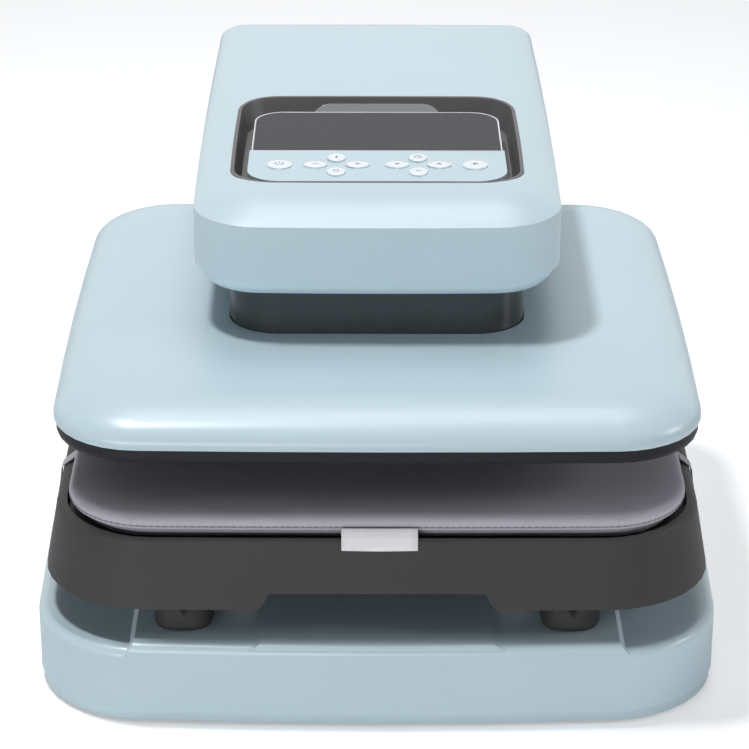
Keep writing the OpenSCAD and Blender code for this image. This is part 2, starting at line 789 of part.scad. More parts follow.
module cover_solid(inset, low) {
    bowed_loft(platen_w, platen_d, platen_corner_r, platen_bow, concat([[inset + 1, low], [inset, low + 1.5]],
        roll_off(inset, z_cover_top - cover_rise - inset, cover_run, cover_rise, 9)));
}

module platen_cover() color(blue)
    translate([0, platen_y, 0]) difference() {
        cover_solid(0, z_cover);
        cover_solid(cover_wall, z_cover - 1);
        round_block(sleeve_w + 1.2, sleeve_d + 1.2, sleeve_r + 0.6, z_cover_top - 5, z_cover_top + 1);
    }

module platen_rim() color([0.12, 0.12, 0.13])
    translate([0, platen_y, 0]) difference() {
        bowed_loft(platen_w, platen_d, platen_corner_r, platen_bow,
            [[4.5, z_rim], [2.3, z_rim + 1.4], [1.5, z_rim + 4], [1.5, z_cover]]);
        round_block(heat_w + 2, heat_d + 2, 13, z_rim - 1, z_cover + 1);
    }

module heat_plate() color([0.25, 0.25, 0.26])
    translate([0, platen_y, 0]) difference() {
        round_block(heat_w, heat_d, 12, z_heat, z_insulation);
        element_path(4.1, z_insulation - 4.2);
        element_slot(4.1);
    }

// Serpentine of six runs joined by half turns
module element_path(r, z) {
    pitch = element_pitch;
    l = element_l;
    for (i = [0 : 5]) translate([(i - 2.5) * pitch, -l / 2, z]) rotate([-90, 0, 0]) cylinder(r = r, h = l);
    for (i = [0 : 4]) translate([(i - 2) * pitch, (i % 2 == 0 ? 1 : -1) * l / 2, z])
        rotate([0, 0, i % 2 == 0 ? 0 : 180]) rotate_extrude(angle = 180) translate([pitch / 2, 0]) circle(r);
}

module element_slot(r) {
    pitch = element_pitch;
    l = element_l;
    z = z_insulation - 4.2;
    for (i = [0 : 5]) box((i - 2.5) * pitch - r, (i - 2.5) * pitch + r, -l / 2, l / 2, z, z_insulation + 1);
    for (i = [0 : 4]) translate([(i - 2) * pitch, (i % 2 == 0 ? 1 : -1) * l / 2, z])
        rotate([0, 0, i % 2 == 0 ? 0 : 180]) rotate_extrude(angle = 180)
            translate([pitch / 2 - r, 0]) square([2 * r, 6]);
}

module heating_element() color([0.45, 0.40, 0.36])
    translate([0, platen_y, 0]) element_path(4, z_insulation - 4.2);

module insulation_board() color([0.85, 0.83, 0.78])
    translate([0, platen_y, 0]) difference() {
        round_block(heat_w - 16, heat_d - 16, 8, z_insulation, z_carriage);
        rod(sensor_x, 0, 8, z_insulation - 1, z_carriage + 1);
    }

module thermal_sensor() color([0.75, 0.75, 0.72])
    translate([0, platen_y, 0]) {
        rod(sensor_x, 0, 6.5, z_insulation, z_carriage + 2);
        for (x = [-3, 3]) translate([sensor_x + x, 0, 0])
            box(-0.5, 0.5, -2, 2, z_carriage + 2, z_carriage + 7);
    }

module carriage_plate() color(steel)
    translate([0, platen_y, 0]) {
        round_block(carriage_w, carriage_d, 20, z_carriage, z_carriage_top);
        four(carriage_w / 2 - 14, carriage_d / 2 - 16) rod(0, 0, 7, z_carriage_top, z_cover_top - cover_wall);
    }

module guide_rods() color(steel)
    translate([0, platen_y, 0]) four(rod_x, rod_y) rod(0, 0, rod_r, z_carriage_top, z_guide + 30);

module nut_tower() color(steel)
    translate([0, platen_y, 0]) difference() {
        union() {
            rod(0, 0, screw_r + 10, z_carriage_top, z_nut_top - 4);
            rod(0, 0, screw_r + 22, z_carriage_top, z_carriage_top + 5);
        }
        rod(0, 0, screw_r + 2, z_carriage_top - 1, z_nut_top);
        rod(0, 0, screw_r + 4, z_nut_top - nut_h, z_nut_top);
    }

module lead_nut() color([0.72, 0.56, 0.30])
    translate([0, platen_y, 0]) difference() {
        union() {
            rod(0, 0, screw_r + 4, z_nut_top - nut_h, z_nut_top - 4);
            rod(0, 0, screw_r + 9, z_nut_top - 4, z_nut_top);
        }
        rod(0, 0, screw_r + run, z_nut_top - nut_h - 1, z_nut_top + 1);
    }

module press_sleeve() color(dark)
    translate([0, platen_y, 0]) difference() {
        round_block(sleeve_w, sleeve_d, sleeve_r, z_carriage_top, z_sleeve_top);
        round_block(sleeve_w - 2 * sleeve_wall, sleeve_d - 2 * sleeve_wall, sleeve_r - sleeve_wall,
            z_carriage_top - 1, z_sleeve_top + 1);
        box(-arm_w / 2 - 3, arm_w / 2 + 3, 0, sleeve_d, z_arm - 3, z_sleeve_top + 1);
    }

// Tray

module tray_solid(inset, low, top) {
    bowed_loft(tray_w, tray_d, tray_corner_r, tray_bow, concat([[inset, low]],
        roll_off(inset + tray_lean, top - tray_edge_r, tray_edge_r, tray_edge_r, 6)));
}

module tray_shell() color(dark)
    translate([0, platen_y, 0]) difference() {
        tray_solid(0, z_tray, z_tray_top);
        tray_solid(tray_wall, z_tray - 1, z_deck);
        bowed_loft(recess_w, recess_d, pad_corner_r + 2, tray_bow, [[0, z_recess], [0, z_tray_top + 1]]);
        pull_notch();
    }

// Finger notch through the tray's front wall
module pull_notch() {
    r = pull_h / 2;
    translate([0, -tray_d / 2 + 20, z_tray]) rotate([90, 0, 0]) linear_extrude(40) {
        x = pull_w / 2;
        polygon([[-x, -1], [x, -1], [x - r, pull_h - r], [-x + r, pull_h - r]]);
        translate([-pull_w / 2 + 2 * r, 0]) square([pull_w - 4 * r, pull_h]);
        for (x = [-1, 1]) translate([x * (pull_w / 2 - 2 * r), pull_h - r]) circle(r);
    }
}

module tray_deck() color(steel)
    translate([0, platen_y, 0]) round_block(tray_w - 60, tray_d - 60, 24, z_deck - 5, z_deck);

module tray_bottom() color(dark)
    translate([0, platen_y, 0]) {
        c = 2 * (tray_wall + 4);
        difference() {
            round_block(tray_w - c - 9, tray_d - c - 9, tray_corner_r - 8, z_tray + 2, z_tray + 4.5);
            box(-pull_w / 2, pull_w / 2, -tray_d, -tray_d / 2 + 56, z_tray, z_tray + 6);
        }
        four(glide_x, glide_y - 8) rod(0, 0, 9, z_tray + 4.5, z_deck - 5);
        for (x = [-1, 0, 1]) rod(x * glide_x, 0, 9, z_tray + 4.5, z_deck - 5);
    }

module glide_feet() color([0.10, 0.10, 0.10])
    translate([0, platen_y, 0]) four(glide_x, glide_y) bowed_loft(2 * glide_r, 2 * glide_r, glide_r - 7, 0.6,
        concat(roll_under(0, z_plateau + part_gap + 4, 4, 4, 3), [[0, z_tray + 2]]));

// Pad with drawn-in lower side, piped seam, soft shoulder and crown
module press_pad() color([0.69, 0.68, 0.73]) {
    z = z_recess;
    h = pad_h;
    translate([0, platen_y, 0]) bowed_loft(pad_w, pad_d, pad_corner_r, tray_bow, [[10, z],
        [8, z + 0.22 * h], [4, z + 0.38 * h], [1.6, z + 0.52 * h], [0.3, z + 0.58 * h], [0, z + 0.64 * h],
        [0, z + 0.7 * h], [0.6, z + 0.78 * h], [2.2, z + 0.85 * h], [6, z + 0.915 * h],
        [14, z + 0.96 * h], [26, z + 0.988 * h], [38, z + h]]);
}

// Tag from the front seam out over the tray's edge
module pad_label() color([0.95, 0.95, 0.96]) {
    t = 0.7;
    y0 = pad_d / 2 - platen_y;
    y1 = tray_d / 2 - tray_lean - platen_y;
    z0 = z_recess + 0.6 * pad_h;
    z1 = z0 - 15.5;
    translate([label_x + label_w / 2, 0, 0]) rotate([90, 0, -90]) linear_extrude(label_w)
        polygon([[y0 + 0.1, z0], [y0 + 1.8, z0 - 2.5], [y1 + 0.3, z_tray_top - 1], [y1 + 0.9, z1],
            [y1 + 0.9 + t, z1], [y1 + 0.3 + t, z_tray_top - 1], [y0 + 1.8 + t, z0 - 2], [y0 + 0.1, z0 + t]]);
}

// Elastic bands from the pad's side over the tray's edge
module pad_straps() color([0.70, 0.70, 0.72])
    for (side = [0, 1], y = [-strap_y, strap_y]) mirror([side, 0, 0]) translate([0, platen_y + y + 4.5, 0])
        rotate([90, 0, 0]) linear_extrude(9) strap_line();

module strap_line() {
    sag = tray_bow * pow(2 * strap_y / (tray_d - 2 * tray_corner_r), 2);
    x0 = pad_w / 2 - sag - 1.7;
    e = tray_edge_r;
    x1 = tray_w / 2 - sag - tray_lean;
    z = z_tray_top;
    out = tray_draft * (tray_h - e - 2) / tray_h;
    polygon(concat([[x0, z + 3.4], [x0, z + 4.6]],
        [for (i = [0 : 6]) [x1 - e + (e + 1.6) * sin(15 * i), z - e + (e + 1.6) * cos(15 * i)]],
        [[x1 + 1.6 + out, z_tray + 2], [x1 + 0.4 + out, z_tray + 2]],
        [for (i = [6 : -1 : 0]) [x1 - e + (e + 0.4) * sin(15 * i), z - e + (e + 0.4) * cos(15 * i)]]));
}

// Slides: outer channel on the base, middle channel, inner bar under the tray

module rail_pair(y0, l) {
    for (x = [-1, 1]) translate([x * rail_x, y0 + l, 0]) rotate([90, 0, 0]) linear_extrude(l) children();
}

module channel(w, h, t) {
    difference() {
        translate([-w / 2, 0]) square([w, h]);
        translate([-w / 2 + t, t]) square([w - 2 * t, h]);
    }
}

module rails_outer() color(steel)
    rail_pair(rail_y0, rail_l) translate([0, z_plateau]) channel(rail_w, rail_h - 2, 1.6);

module rails_middle() color(steel)
    rail_pair(rail_y0, rail_l) translate([0, z_plateau + 1.6 + part_gap])
        channel(rail_w - 3.2 - 2 * part_gap, rail_h - 3, 1.6);

module rails_inner() color(steel)
    rail_pair(rail_y0, rail_l) translate([0, z_plateau + 3.2 + 2 * part_gap]) {
        w = rail_w - 6.4 - 4 * part_gap;
        translate([-w / 2, 0]) square([w, tray_gap + 2 - 3.2 - 2 * part_gap]);
    }

base_shell();
base_plate();
rubber_feet();
base_frame();
column_frame();
column_front();
column_rear();
power_inlet();
case_screws();
head_arm();
guide_plate();
guide_bushes();
bearing_block();
head_lower();
head_upper();
handle_well();
grip_insert();
control_panel();
display_window();
display_module();
control_board();
power_board();
drive_motor();
drive_belt();
rails_outer();
platen_cover();
platen_rim();
heat_plate();
heating_element();
insulation_board();
thermal_sensor();
carriage_plate();
guide_rods();
nut_tower();
lead_nut();
press_sleeve();
lead_screw();
screw_pulley();
motor_shaft();
motor_pulley();
tray_shell();
tray_deck();
tray_bottom();
press_pad();
pad_label();
pad_straps();
glide_feet();
rails_inner();
rails_middle();
button_power();
button_left_a();
button_left_b();
button_left_c();
button_left_d();
button_right_a();
button_right_b();
button_right_c();
button_right_d();
button_start();
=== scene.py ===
"""Heat press with a pull-out padded tray: the looks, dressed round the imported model."""
import json
import math

import bmesh
import bpy
from mathutils import Matrix, Vector
from mathutils.bvhtree import BVHTree
from mathutils.geometry import interpolate_bezier


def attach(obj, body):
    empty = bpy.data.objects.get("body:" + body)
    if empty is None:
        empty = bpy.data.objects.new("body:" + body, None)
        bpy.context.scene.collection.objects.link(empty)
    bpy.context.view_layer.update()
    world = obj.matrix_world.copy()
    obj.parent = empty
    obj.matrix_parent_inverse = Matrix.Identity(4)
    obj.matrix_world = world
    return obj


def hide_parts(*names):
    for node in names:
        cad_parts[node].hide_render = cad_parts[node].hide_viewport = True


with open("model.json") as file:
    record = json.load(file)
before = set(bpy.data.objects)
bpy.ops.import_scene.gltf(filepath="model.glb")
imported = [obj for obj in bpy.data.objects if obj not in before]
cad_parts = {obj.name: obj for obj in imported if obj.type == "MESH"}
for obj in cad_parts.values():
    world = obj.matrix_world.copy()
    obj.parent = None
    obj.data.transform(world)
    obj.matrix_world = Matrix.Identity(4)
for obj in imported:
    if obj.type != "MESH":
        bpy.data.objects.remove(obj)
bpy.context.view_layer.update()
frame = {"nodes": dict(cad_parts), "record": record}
MM = 0.001
UP = Vector((0, 0, 1))
BACKWARDS = Vector((0, 1, 0))
scene = bpy.context.scene
scene.view_settings.view_transform = "Standard"

# Camera: long lens, looking down a little onto the front of the press
IMAGE_PX = 749
FOCAL_PX = 2782.0
SENSOR_WIDTH = 36.0
FAR_CLIP = 50.0
CAMERA_PLACE = (-0.0071, -1.8697, 0.9329)
CAMERA_PITCH = 0.4112
CAMERA_TURN = -0.00314
CAMERA_ROLL = 0.003
camera_data = bpy.data.cameras.new("camera")
camera_data.sensor_width = SENSOR_WIDTH
camera_data.lens = FOCAL_PX / IMAGE_PX * SENSOR_WIDTH
camera_data.clip_end = FAR_CLIP
camera = bpy.data.objects.new("camera", camera_data)
scene.collection.objects.link(camera)
camera.matrix_world = (
    Matrix.Translation(CAMERA_PLACE)
    @ Matrix.Rotation(CAMERA_TURN, 4, "Z")
    @ Matrix.Rotation(math.pi / 2 - CAMERA_PITCH, 4, "X")
    @ Matrix.Rotation(CAMERA_ROLL, 4, "Z")
)
scene.camera = camera

# Materials: values that finishes of one kind share
CLOUD_SIZE = 90 * MM
NOISE_LOW, NOISE_HIGH = 0.3, 0.7
PLASTIC_IOR = 1.53
PLASTIC_GLOSS_SPREAD = 0.04
COAT_ROUGHNESS = 0.2
GRAIN_DEPTH = 0.2 * MM
METAL_GLOSS_SPREAD = 0.07
LINE_STRETCH = 0.04
LINE_RELIEF = 0.06
LINE_DEPTH = 0.05 * MM
CLOTH_IOR = 1.5
CLOTH_SHINE = 0.2
SHEEN_ROUGHNESS = 0.45
FLUFF_SIZE = 14 * MM
THREAD_DEPTH = 0.3 * MM
# Length after which a wave texture of scale 1 repeats
WAVE_REPEAT = 0.314


def linear(code):
    """An sRGB hex colour as linear RGBA."""
    parts = [int(code[i:i + 2], 16) / 255 for i in (1, 3, 5)]
    return [c / 12.92 if c <= 0.04045 else ((c + 0.055) / 1.055) ** 2.4 for c in parts] + [1.0]


def add(tree, kind, inputs=(), **settings):
    """A node with its settings; inputs are pairs of a socket and a value or an output to link."""
    made = tree.nodes.new(kind)
    for key, value in settings.items():
        setattr(made, key, value)
    for socket, value in inputs:
        if isinstance(value, bpy.types.NodeSocket):
            tree.links.new(value, made.inputs[socket])
        else:
            made.inputs[socket].default_value = value
    return made


def start(name):
    """A new material with its tree, its shader and the object coordinates."""
    made = bpy.data.materials.new(name)
    made.use_nodes = True
    tree = made.node_tree
    shader = tree.nodes["Principled BSDF"]
    place = add(tree, "ShaderNodeTexCoord").outputs["Object"]
    return made, tree, shader, place


def moulded(name, colour, shade, roughness, grain_mm, relief, coat=0.0, shine=0.5):
    """Moulded plastic: an even colour with faint clouding, and the grain that the mould's skin leaves."""
    made, tree, shader, place = start(name)
    cloud = add(tree, "ShaderNodeTexNoise", [("Vector", place), ("Scale", 1 / CLOUD_SIZE), ("Detail", 2.0)])
    tint = add(tree, "ShaderNodeMixRGB",
               [("Fac", cloud.outputs["Fac"]), ("Color1", linear(colour)), ("Color2", linear(shade))])
    grain = add(tree, "ShaderNodeTexNoise",
                [("Vector", place), ("Scale", 1 / (grain_mm * MM)), ("Detail", 3.0), ("Roughness", 0.6)])
    gloss = add(tree, "ShaderNodeMapRange",
                [("Value", grain.outputs["Fac"]), ("From Min", NOISE_LOW), ("From Max", NOISE_HIGH),
                 ("To Min", roughness - PLASTIC_GLOSS_SPREAD), ("To Max", roughness + PLASTIC_GLOSS_SPREAD)])
    bump = add(tree, "ShaderNodeBump",
               [("Height", grain.outputs["Fac"]), ("Strength", relief), ("Distance", GRAIN_DEPTH)])
    tree.links.new(tint.outputs["Color"], shader.inputs["Base Color"])
    tree.links.new(gloss.outputs["Result"], shader.inputs["Roughness"])
    tree.links.new(bump.outputs["Normal"], shader.inputs["Normal"])
    shader.inputs["IOR"].default_value = PLASTIC_IOR
    shader.inputs["Coat Weight"].default_value = coat
    shader.inputs["Coat Roughness"].default_value = COAT_ROUGHNESS
    shader.inputs["Specular IOR Level"].default_value = shine
    return made


def metal(name, colour, roughness, line_mm, along):
    """Metal with fine lines from rolling or turning, stretched along one axis."""
    made, tree, shader, place = start(name)
    stretch = [1.0, 1.0, 1.0]
    stretch[along] = LINE_STRETCH
    drawn = add(tree, "ShaderNodeMapping", [("Vector", place), ("Scale", stretch)])
    lines = add(tree, "ShaderNodeTexNoise",
                [("Vector", drawn.outputs["Vector"]), ("Scale", 1 / (line_mm * MM)), ("Detail", 2.0)])
    gloss = add(tree, "ShaderNodeMapRange",
                [("Value", lines.outputs["Fac"]), ("From Min", NOISE_LOW), ("From Max", NOISE_HIGH),
                 ("To Min", roughness - METAL_GLOSS_SPREAD), ("To Max", roughness + METAL_GLOSS_SPREAD)])
    tint = add(tree, "ShaderNodeMixRGB",
               [("Fac", lines.outputs["Fac"]), ("Color1", linear(colour)), ("Color2", linear("#ffffff"))],
               blend_type="SOFT_LIGHT")
    bump = add(tree, "ShaderNodeBump",
               [("Height", lines.outputs["Fac"]), ("Strength", LINE_RELIEF), ("Distance", LINE_DEPTH)])
    tree.links.new(tint.outputs["Color"], shader.inputs["Base Color"])
    tree.links.new(gloss.outputs["Result"], shader.inputs["Roughness"])
    tree.links.new(bump.outputs["Normal"], shader.inputs["Normal"])
    shader.inputs["Metallic"].default_value = 1.0
    return made


def woven(name, colour, thread_colour, thread_mm, relief, sheen, roughness):
    """Plain weave: bands of warp and weft cross, and the cloth stands up where they meet."""
    made, tree, shader, place = start(name)
    count = 1 / (thread_mm * MM * 2)
    bands = []
    for axis in ("X", "Y"):
        bands.append(add(tree, "ShaderNodeTexWave",
                         [("Vector", place), ("Scale", count * WAVE_REPEAT),
                          ("Distortion", 0.6), ("Detail", 1.0)],
                         wave_type="BANDS", bands_direction=axis, wave_profile="SIN"))
    rise = add(tree, "ShaderNodeMath",
               [(0, bands[0].outputs["Fac"]), (1, bands[1].outputs["Fac"])], operation="MULTIPLY")
    fluff = add(tree, "ShaderNodeTexNoise", [("Vector", place), ("Scale", 1 / FLUFF_SIZE), ("Detail", 4.0)])
    mix = add(tree, "ShaderNodeMath",
              [(0, rise.outputs["Value"]), (1, fluff.outputs["Fac"])], operation="MULTIPLY")
    tint = add(tree, "ShaderNodeMixRGB",
               [("Fac", mix.outputs["Value"]), ("Color1", linear(colour)), ("Color2", linear(thread_colour))])
    bump = add(tree, "ShaderNodeBump",
               [("Height", rise.outputs["Value"]), ("Strength", relief), ("Distance", THREAD_DEPTH)])
    tree.links.new(tint.outputs["Color"], shader.inputs["Base Color"])
    tree.links.new(bump.outputs["Normal"], shader.inputs["Normal"])
    shader.inputs["Roughness"].default_value = roughness
    shader.inputs["Sheen Weight"].default_value = sheen
    shader.inputs["Sheen Roughness"].default_value = SHEEN_ROUGHNESS
    shader.inputs["IOR"].default_value = CLOTH_IOR
    shader.inputs["Specular IOR Level"].default_value = CLOTH_SHINE
    return made


# Widths of grains, lines and threads are in millimetres, drawn coarser than the real ones so that they show

# Satin ABS: pale blue, soft highlights; the spark grain of 0.1 mm is drawn at 1.5 mm so that it shows
blue_abs = moulded("abs_satin_pale_blue", "#c3d8e1", "#bfd4de", 0.33, 1.5, 0.012, coat=0.08)
# Grained ABS: charcoal, a leathery mould skin that spreads the light
charcoal_abs = moulded("abs_grained_charcoal", "#434142", "#3e3c3d", 0.55, 1.2, 0.10, shine=0.2)
# Smooth ABS: darker charcoal, glossy enough for upright highlights on the sleeve
sleeve_abs = moulded("abs_smooth_charcoal", "#33383a", "#313638", 0.24, 2.0, 0.004, shine=0.35)
# Satin ABS: a lighter charcoal, for the walls of the handle well
well_abs = moulded("abs_satin_charcoal", "#676565", "#615f5f", 0.45, 1.2, 0.05, shine=0.3)
# Heat-proof nylon: near black, dull
black_nylon = moulded("nylon_glass_filled_black", "#212224", "#1d1e20", 0.48, 0.9, 0.10, shine=0.2)
# Polished ABS: light grey, picks up the light in the finger scoop
grey_abs = moulded("abs_polished_grey", "#b4b5b8", "#adafb2", 0.20, 2.0, 0.02, coat=0.2)
# Smoked acrylic: smooth grey window over the unlit display
smoked_acrylic = moulded("acrylic_smoked", "#424146", "#403f44", 0.50, 3.0, 0.005, shine=0.12)
# Satin ABS: white caps
white_abs = moulded("abs_satin_white", "#eef3f8", "#e9eff5", 0.30, 1.5, 0.02, coat=0.15)
# Pad-printed ink: flat grey
grey_ink = moulded("ink_printed_grey", "#7e868e", "#777f87", 0.55, 0.6, 0.03)
# Display glass: very dark, under the smoked window
display_glass = moulded("display_glass", "#24262a", "#202226", 0.12, 3.0, 0.01, coat=0.3)
# Laminate: green solder mask over glass weave
board_laminate = moulded("laminate_solder_mask_green", "#1d5a35", "#184f2e", 0.32, 1.0, 0.05, coat=0.2)
# Enamel: stoved dark grey paint on the motor's can
motor_enamel = moulded("enamel_stoved_dark_grey", "#38393b", "#323335", 0.35, 1.4, 0.06)
# Rubber: black, dull, faint moulding bloom
rubber = moulded("rubber_moulded_black", "#232323", "#1c1c1c", 0.72, 1.0, 0.15)
# Mica and fibre board: off-white, chalky
fibre_board = moulded("fibre_board_off_white", "#dcd7ca", "#cfc9ba", 0.85, 1.6, 0.30)
# Cold-rolled steel, zinc plated: grey, lines along the rolling
steel = metal("steel_zinc_plated", "#a3a7ab", 0.42, 0.8, 1)
# Bronze: turned bushes and nut, lines along the upright axis
bronze = metal("bronze_turned", "#b98f4e", 0.30, 0.6, 2)
# Cast aluminium with a dark non-stick coat: dull, slightly pebbled
coated_plate = moulded("aluminium_non_stick_coat", "#3a3a3c", "#343436", 0.42, 1.1, 0.12)
# Woven polyester with a heat-proof coat: pale grey; the thread of 0.3 mm is drawn at 1.1 mm so that it shows
pad_cloth = woven("polyester_woven_pale_grey", "#b5b3be", "#c1bfca", 1.1, 0.20, 0.10, 0.78)
# Brushed knit: the same pale grey, folded into the hem under the seam, soft nap
hem_cloth = woven("knit_brushed_pale_grey", "#b3b1bb", "#c2c0ca", 0.9, 0.22, 0.30, 0.80)
# Plain weave: the pad's own cloth below the seam, painted mid grey as painted shade where the cloth curves
# under
underside_painted_shade_cloth = woven("pad_cloth_painted_shade_grey", "#8f8e96", "#9b9aa2", 0.9, 0.25, 0.15, 0.85)
# Satin weave: white tag with a faint thread line
tag_satin = woven("satin_weave_white", "#eeedf0", "#fafafc", 0.8, 0.12, 0.20, 0.50)
# Ribbed elastic: pale grey band
elastic = woven("elastic_ribbed_grey", "#a9aab2", "#c4c5cc", 1.0, 0.45, 0.20, 0.70)
# Spun polyester thread: mid grey, soft
thread = woven("thread_polyester_grey", "#8f8e97", "#a3a2ab", 0.7, 0.3, 0.30, 0.70)

SLOT_MATERIALS = {
    "case_blue": blue_abs, "dark_plastic": charcoal_abs, "black_plastic": black_nylon,
    "grey_plastic": grey_abs, "steel": steel, "rubber_black": rubber, "bronze": bronze,
    "coated_aluminium": coated_plate, "insulation": fibre_board, "board_green": board_laminate,
    "motor_paint": motor_enamel, "window": smoked_acrylic, "display": display_glass,
    "pad_cloth": pad_cloth, "tag_cloth": tag_satin, "elastic": elastic, "button_white": white_abs,
}
node_slot = {row["node"]: row["material_slot"] for row in frame["record"]["subparts"]}
node_body = {n: body for body, nodes in frame["record"]["behaviour"]["bodies"].items() for n in nodes}
for name, node in frame["nodes"].items():
    node.data.materials.clear()
    node.data.materials.append(SLOT_MATERIALS[node_slot[name]])

# Pieces: angles in degrees, and the slack allowed in merging, cutting and picking by height
SMOOTH_ANGLE = 32.0
ROUND_ANGLE = 40.0
FACET_ANGLE = 0.4
EDGE_SEGMENTS = 3
MERGE_SLACK = 0.01 * MM
CUT_SLACK = 1e-7
LEVEL_SLACK = 0.1 * MM


def piece(name, bm, materials, body, replaces):
    """The bmesh as an object at the origin, riding on a body in place of CAD nodes."""
    mesh = bpy.data.meshes.new(name)
    bm.to_mesh(mesh)
    bm.free()
    for material in materials:
        mesh.materials.append(material)
    made = bpy.data.objects.new(name, mesh)
    scene.collection.objects.link(made)
    mesh.shade_smooth()
    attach(made, body)
    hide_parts(*replaces)
    return made


def finish_edges(made, width_mm, angle=SMOOTH_ANGLE):
    """Rounds the sharp edges a little and keeps flat faces flat in the shading."""
    made.data.set_sharp_from_angle(angle=math.radians(angle))
    if width_mm:
        bevel = made.modifiers.new("edges", "BEVEL")
        bevel.width = width_mm * MM
        bevel.segments = EDGE_SEGMENTS
        bevel.limit_method = "ANGLE"
        bevel.angle_limit = math.radians(angle)
        bevel.harden_normals = True
        bevel.miter_outer = "MITER_ARC"
    weight = made.modifiers.new("normals", "WEIGHTED_NORMAL")
    weight.keep_sharp = True


def solid_copy(name):
    """A node's mesh with its loose triangles merged."""
    bm = bmesh.new()
    bm.from_mesh(frame["nodes"][name].data)
    bmesh.ops.remove_doubles(bm, verts=bm.verts, dist=MERGE_SLACK)
    for face in bm.faces:
        face.material_index = 0
    return bm


def corners(name):
    """Lowest and highest corner of a node."""
    points = [v.co for v in frame["nodes"][name].data.vertices]
    return [Vector([pick(p[i] for p in points) for i in range(3)]) for pick in (min, max)]


def join_facets(bm):
    """Joins the facets that lie in one plane."""
    bmesh.ops.dissolve_limit(bm, angle_limit=math.radians(FACET_ANGLE), verts=bm.verts, edges=bm.edges)


def cut(bm, place, normal, below=False, above=False):
    """Cuts a bmesh along a plane and drops what is below or above it; gives the points of the cut."""
    found = bmesh.ops.bisect_plane(bm, geom=bm.verts[:] + bm.edges[:] + bm.faces[:], dist=CUT_SLACK,
                                   plane_co=place, plane_no=normal, clear_inner=below, clear_outer=above)
    return [v.co.copy() for v in found["geom_cut"] if isinstance(v, bmesh.types.BMVert)]


def shell(name, width_mm, material=None, angle=SMOOTH_ANGLE, reshape=None):
    """A moulded shell: the node's solid with its facets joined and its edges rounded as by a mould."""
    bm = solid_copy(name)
    if reshape:
        reshape(bm)
    join_facets(bm)
    bmesh.ops.triangulate(bm, faces=[face for face in bm.faces if len(face.verts) > 4])
    made = piece(name + "_skin", bm, [material or SLOT_MATERIALS[node_slot[name]]],
                 node_body[name], [name])
    finish_edges(made, width_mm, angle)


# The head: its crown meets the front face in a crease, and the lip under its seam is drawn in
HEAD_LOW, HEAD_HIGH = corners("head_upper")
HEAD_CROWN = 12 * MM
LIP_STEP = 1.4 * MM
SIDE_FACING = 0.5
UP_FACING = 0.3


def eased_crown(bm):
    """Turns the head's rolled crown into a slope above a crease, which fades from the front backwards."""
    crease = HEAD_HIGH.z - HEAD_CROWN
    bm.normal_update()
    for v in bm.verts:
        rise = (v.co.z - crease) / HEAD_CROWN
        if rise > 0 and v.normal.z > 0:
            front = (HEAD_HIGH.y - v.co.y) / (HEAD_HIGH.y - HEAD_LOW.y)
            v.co.z = crease + HEAD_CROWN * rise ** (1 + front)


def drawn_lip(bm):
    """Draws the outer skin of the lip in a little, so that the seam above it throws a shadow line."""
    middle = (HEAD_LOW + HEAD_HIGH) / 2
    bm.normal_update()
    for v in bm.verts:
        out = Vector((v.normal.x, v.normal.y, 0))
        outward = out.dot(v.co - middle) > 0 and out.length > SIDE_FACING
        if outward and (v.normal.z < UP_FACING or v.co.z > HEAD_LOW.z - LEVEL_SLACK):
            v.co -= out.normalized() * LIP_STEP


# Moulded shells, each with the width of its edges in millimetres
shell("base_shell", 0.6)
shell("head_upper", 0.9, reshape=eased_crown)
shell("head_lower", 0.5, reshape=drawn_lip)
shell("handle_well", 0.5, well_abs)
shell("column_front", 0.4)
shell("column_rear", 0.3)
shell("platen_cover", 0.4)
shell("platen_rim", 0.5, black_nylon)
shell("press_sleeve", 0.4, sleeve_abs)
shell("tray_shell", 0.6)
shell("grip_insert", 0.3)
shell("display_window", 0.3)
shell("power_inlet", 0.3)
shell("glide_feet", 0.0, angle=ROUND_ANGLE)
shell("rubber_feet", 0.8)

# Control panel: blue round the buttons, with a white edge round the window, a painted highlight for the light
# that the panel's rim catches there
WINDOW_LOW, WINDOW_HIGH = corners("display_window")
WINDOW_HIGHLIGHT_DEPTH = 1 * MM
bm = solid_copy("control_panel")
cut(bm, WINDOW_LOW, BACKWARDS)
# Faces behind the window's front line and within a millimetre of its top get the white painted highlight
for face in bm.faces:
    middle = face.calc_center_median()
    face.material_index = int(middle.y > WINDOW_LOW.y and middle.z > WINDOW_HIGH.z - WINDOW_HIGHLIGHT_DEPTH)
panel = piece("control_panel_skin", bm, [blue_abs, white_abs], node_body["control_panel"],
              ["control_panel"])
finish_edges(panel, 0.0)

# The pad: a stuffed body with a seam low round its edge, a hem below the seam and a row of stitches along it
PAD_LOW, PAD_HIGH = corners("press_pad")
PAD_MID = (PAD_LOW + PAD_HIGH) / 2
PAD_HALF = (PAD_HIGH - PAD_LOW) / 2
SEAM_SHARE = 0.53
SEAM_Z = PAD_LOW.z + SEAM_SHARE * (PAD_HIGH.z - PAD_LOW.z)
PAD_VOXEL = 5 * MM
DRAW_IN = Vector((0.5, 0.5, 0.7)) * MM
SWELL_STEPS = 20
SWELL_PRESSURE = 4.0
SWELL_CAP = 1.2 * MM
SKIN_GAP = 0.25 * MM
HEM_LOW = SEAM_Z - 2.3 * MM
HEM_HIGH = SEAM_Z - 0.4 * MM
HEM_THICK = 1.2 * MM
HEM_PROUD = 0.6
JOIN_LIMIT = 0.8
STITCH_PITCH = 4.4 * MM
STITCH_LIFT = 0.35 * MM
STITCH_FORM = Matrix.Diagonal((1.8 * MM, 0.4 * MM, 0.35 * MM, 1))


def level_cut(bm, z, below=False, above=False):
    """Cuts a bmesh at a level, and drops what is below or above; gives the points of the cut."""
    return cut(bm, (0, 0, z), UP, below, above)


